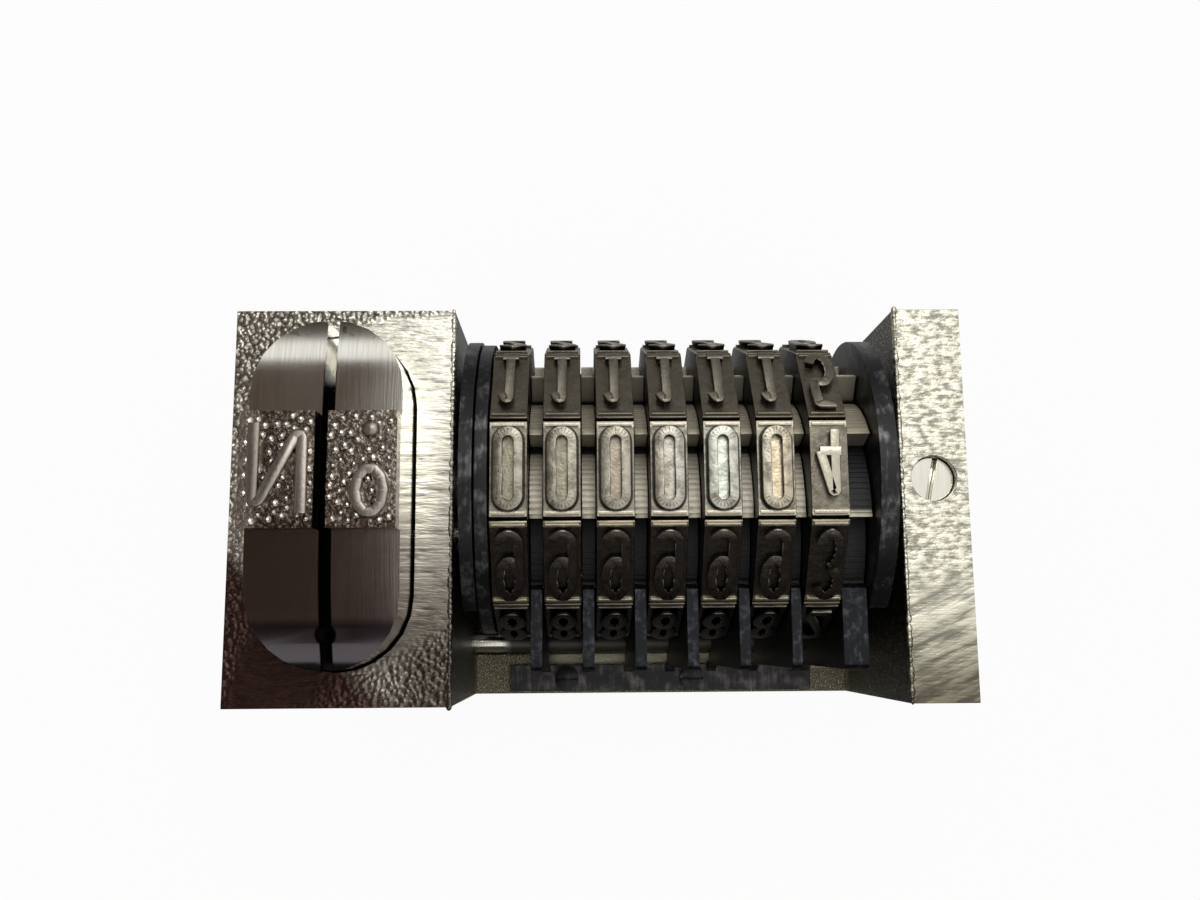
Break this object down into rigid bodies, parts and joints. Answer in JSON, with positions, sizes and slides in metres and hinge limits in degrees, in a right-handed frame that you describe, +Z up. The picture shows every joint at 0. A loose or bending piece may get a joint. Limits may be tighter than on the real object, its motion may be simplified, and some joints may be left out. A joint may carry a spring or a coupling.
{
  "type": "typographic numbering machine",
  "caption": "Plunger-operated letterpress numbering machine: steel frame, figure wheels with ratchets on one shaft, retaining pawls, and a pressed plunger that rocks the feed pawl.",
  "frame": {"origin": "centre of the underside of the frame", "axes": "+X along the wheel shaft from the plunger to the units wheel, +Y to the rear, +Z up to the printing face"},
  "size_m": [0.0412, 0.0222, 0.0247],
  "materials": {
    "nickelled_steel": "nickelled, rough-milled",
    "polished_steel": "polished",
    "figure_steel": "worn nickel with dried ink",
    "ratchet_steel": "hardened, oily",
    "blackened_steel": "blackened, semi-matt",
    "blued_steel": "blued",
    "spring_steel": "tempered"
  },
  "bodies": {
    "frame": {"frame": "nickelled_steel", "wheel_shaft": "polished_steel", "shaft_lock_screw": "polished_steel", "wheel_spacer": "blackened_steel", "retaining_pawl_rod": "polished_steel", "retaining_spring_comb": "spring_steel", "comb_screw_left": "blackened_steel", "comb_screw_right": "blackened_steel", "plunger_spring_front": "spring_steel", "plunger_spring_rear": "spring_steel"},
    "plunger": {"plunger": "polished_steel"},
    "swing": {"swing_arm_left": "blackened_steel", "swing_arm_right": "blackened_steel", "swing_tie_rod": "polished_steel", "swing_drive_pin": "polished_steel", "feed_pawl_pin": "polished_steel", "feed_pawl_spring": "spring_steel"},
    "feed_pawl": {"feed_pawl": "blackened_steel"},
    "number_wheel_millions": {"number_wheel_millions": "figure_steel", "ratchet_ring_millions": "ratchet_steel"},
    "number_wheel_hundred_thousands": {"number_wheel_hundred_thousands": "figure_steel", "ratchet_ring_hundred_thousands": "ratchet_steel"},
    "number_wheel_ten_thousands": {"number_wheel_ten_thousands": "figure_steel", "ratchet_ring_ten_thousands": "ratchet_steel"},
    "number_wheel_thousands": {"number_wheel_thousands": "figure_steel", "ratchet_ring_thousands": "ratchet_steel"},
    "number_wheel_hundreds": {"number_wheel_hundreds": "figure_steel", "ratchet_ring_hundreds": "ratchet_steel"},
    "number_wheel_tens": {"number_wheel_tens": "figure_steel", "ratchet_ring_tens": "ratchet_steel"},
    "number_wheel_units": {"number_wheel_units": "figure_steel", "ratchet_ring_units": "ratchet_steel"},
    "retaining_pawl_millions": {"retaining_pawl_millions": "blued_steel"},
    "retaining_pawl_hundred_thousands": {"retaining_pawl_hundred_thousands": "blued_steel"},
    "retaining_pawl_ten_thousands": {"retaining_pawl_ten_thousands": "blued_steel"},
    "retaining_pawl_thousands": {"retaining_pawl_thousands": "blued_steel"},
    "retaining_pawl_hundreds": {"retaining_pawl_hundreds": "blued_steel"},
    "retaining_pawl_tens": {"retaining_pawl_tens": "blued_steel"},
    "retaining_pawl_units": {"retaining_pawl_units": "blued_steel"}
  },
  "joints": [
    {"name": "plunger_slide", "type": "slide", "parent": "frame", "child": "plunger", "axis": [0, 0, -1], "range_m": [0, 0.002], "stiffness_N_per_m": 2000, "springref_m": -0.002, "deforming": ["plunger_spring_front", "plunger_spring_rear"]},
    {"name": "swing_rock", "type": "hinge", "parent": "frame", "child": "swing", "pos_m": [0, 0.0013, 0.0147], "axis": [1, 0, 0], "range_deg": [0, 40]},
    {"name": "feed_pawl_lift", "type": "hinge", "parent": "swing", "child": "feed_pawl", "pos_m": [0, 0.00487, 0.00541], "axis": [1, 0, 0], "range_deg": [0, 6], "stiffness_Nm_per_rad": 0.02, "springref_deg": -17.19},
    {"name": "number_wheel_millions_turn", "type": "hinge", "parent": "frame", "child": "number_wheel_millions", "pos_m": [0, 0.0013, 0.0147], "axis": [-1, 0, 0], "continuous": true},
    {"name": "number_wheel_hundred_thousands_turn", "type": "hinge", "parent": "frame", "child": "number_wheel_hundred_thousands", "pos_m": [0, 0.0013, 0.0147], "axis": [-1, 0, 0], "continuous": true},
    {"name": "number_wheel_ten_thousands_turn", "type": "hinge", "parent": "frame", "child": "number_wheel_ten_thousands", "pos_m": [0, 0.0013, 0.0147], "axis": [-1, 0, 0], "continuous": true},
    {"name": "number_wheel_thousands_turn", "type": "hinge", "parent": "frame", "child": "number_wheel_thousands", "pos_m": [0, 0.0013, 0.0147], "axis": [-1, 0, 0], "continuous": true},
    {"name": "number_wheel_hundreds_turn", "type": "hinge", "parent": "frame", "child": "number_wheel_hundreds", "pos_m": [0, 0.0013, 0.0147], "axis": [-1, 0, 0], "continuous": true},
    {"name": "number_wheel_tens_turn", "type": "hinge", "parent": "frame", "child": "number_wheel_tens", "pos_m": [0, 0.0013, 0.0147], "axis": [-1, 0, 0], "continuous": true},
    {"name": "number_wheel_units_turn", "type": "hinge", "parent": "frame", "child": "number_wheel_units", "pos_m": [0, 0.0013, 0.0147], "axis": [-1, 0, 0], "continuous": true},
    {"name": "retaining_pawl_millions_lift", "type": "hinge", "parent": "frame", "child": "retaining_pawl_millions", "pos_m": [0, -0.0077, 0.005], "axis": [1, 0, 0], "range_deg": [0, 7], "stiffness_Nm_per_rad": 0.01, "springref_deg": -5.73},
    {"name": "retaining_pawl_hundred_thousands_lift", "type": "hinge", "parent": "frame", "child": "retaining_pawl_hundred_thousands", "pos_m": [0, -0.0077, 0.005], "axis": [1, 0, 0], "range_deg": [0, 7], "stiffness_Nm_per_rad": 0.01, "springref_deg": -5.73},
    {"name": "retaining_pawl_ten_thousands_lift", "type": "hinge", "parent": "frame", "child": "retaining_pawl_ten_thousands", "pos_m": [0, -0.0077, 0.005], "axis": [1, 0, 0], "range_deg": [0, 7], "stiffness_Nm_per_rad": 0.01, "springref_deg": -5.73},
    {"name": "retaining_pawl_thousands_lift", "type": "hinge", "parent": "frame", "child": "retaining_pawl_thousands", "pos_m": [0, -0.0077, 0.005], "axis": [1, 0, 0], "range_deg": [0, 7], "stiffness_Nm_per_rad": 0.01, "springref_deg": -5.73},
    {"name": "retaining_pawl_hundreds_lift", "type": "hinge", "parent": "frame", "child": "retaining_pawl_hundreds", "pos_m": [0, -0.0077, 0.005], "axis": [1, 0, 0], "range_deg": [0, 7], "stiffness_Nm_per_rad": 0.01, "springref_deg": -5.73},
    {"name": "retaining_pawl_tens_lift", "type": "hinge", "parent": "frame", "child": "retaining_pawl_tens", "pos_m": [0, -0.0077, 0.005], "axis": [1, 0, 0], "range_deg": [0, 7], "stiffness_Nm_per_rad": 0.01, "springref_deg": -5.73},
    {"name": "retaining_pawl_units_lift", "type": "hinge", "parent": "frame", "child": "retaining_pawl_units", "pos_m": [0, -0.0077, 0.005], "axis": [1, 0, 0], "range_deg": [0, 7], "stiffness_Nm_per_rad": 0.01, "springref_deg": -5.73}
  ],
  "couplings": [
    {"joint": "swing_rock", "follows": "plunger_slide", "rad_per_m": 349}
  ]
}
